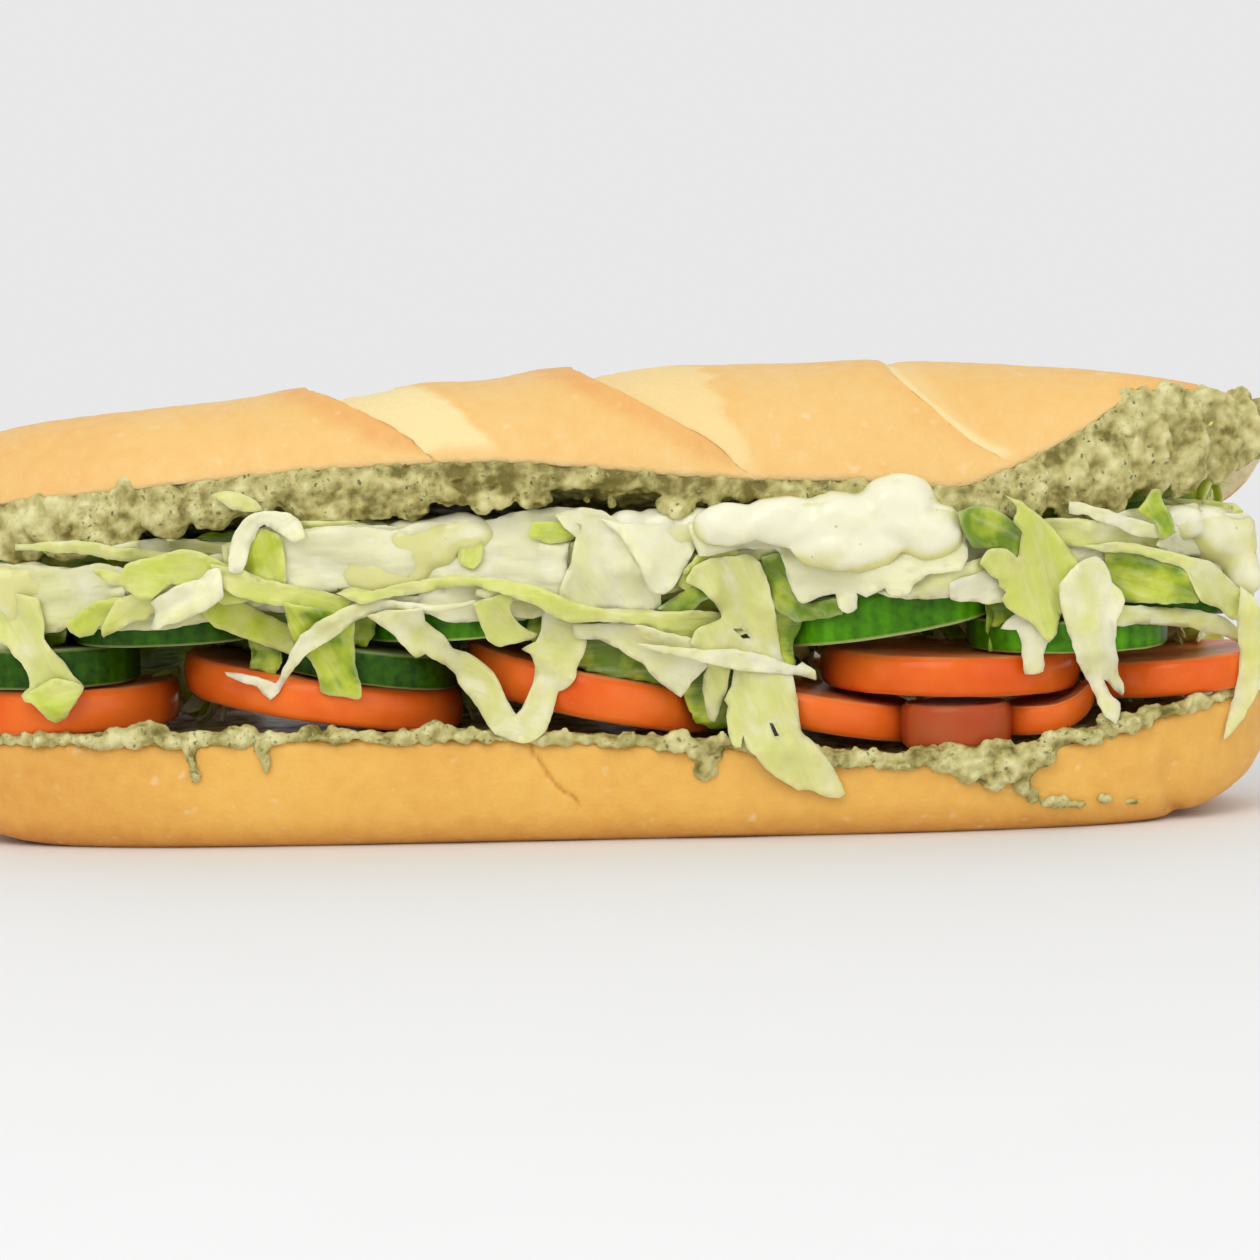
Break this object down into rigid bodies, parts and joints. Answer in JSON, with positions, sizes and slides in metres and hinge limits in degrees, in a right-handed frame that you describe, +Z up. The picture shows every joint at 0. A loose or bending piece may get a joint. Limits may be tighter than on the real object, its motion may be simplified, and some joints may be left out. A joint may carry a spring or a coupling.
{
  "type": "submarine sandwich",
  "caption": "Long soft roll cut in two halves, open along one side, filled with herb spread, tomato and cucumber slices, shredded lettuce and mayonnaise.",
  "frame": {"origin": "middle of the flat foot under the lower half of the roll, on the surface it stands on", "axes": "+X along the roll to the right as seen from its open side, +Y towards the closed side at the back, +Z up"},
  "size_m": [0.264, 0.085, 0.0902],
  "materials": {
    "crust": "soft baked crust, satin",
    "herb_spread": "moist spread",
    "tomato": "wet skin and flesh",
    "cucumber": "waxy skin and wet flesh",
    "lettuce": "crisp thin leaf",
    "mayonnaise": "glossy sauce"
  },
  "bodies": {
    "root": {"bread_bottom": "crust", "bread_top": "crust", "cucumber_1": "cucumber", "cucumber_2": "cucumber", "cucumber_3": "cucumber", "cucumber_4": "cucumber", "cucumber_5": "cucumber", "cucumber_6": "cucumber", "cucumber_7": "cucumber", "cucumber_8": "cucumber", "cucumber_back_1": "cucumber", "cucumber_back_2": "cucumber", "cucumber_back_3": "cucumber", "cucumber_back_4": "cucumber", "cucumber_back_5": "cucumber", "cucumber_back_6": "cucumber", "lettuce": "lettuce", "mayonnaise_1": "mayonnaise", "mayonnaise_2": "mayonnaise", "mayonnaise_3": "mayonnaise", "mayonnaise_4": "mayonnaise", "mayonnaise_5": "mayonnaise", "spread_bottom": "herb_spread", "spread_top": "herb_spread", "tomato_1": "tomato", "tomato_2": "tomato", "tomato_3": "tomato", "tomato_4": "tomato", "tomato_5": "tomato", "tomato_6": "tomato", "tomato_7": "tomato", "tomato_8": "tomato", "tomato_back_1": "tomato", "tomato_back_2": "tomato", "tomato_back_3": "tomato", "tomato_back_4": "tomato", "tomato_back_5": "tomato"}
  },
  "joints": []
}
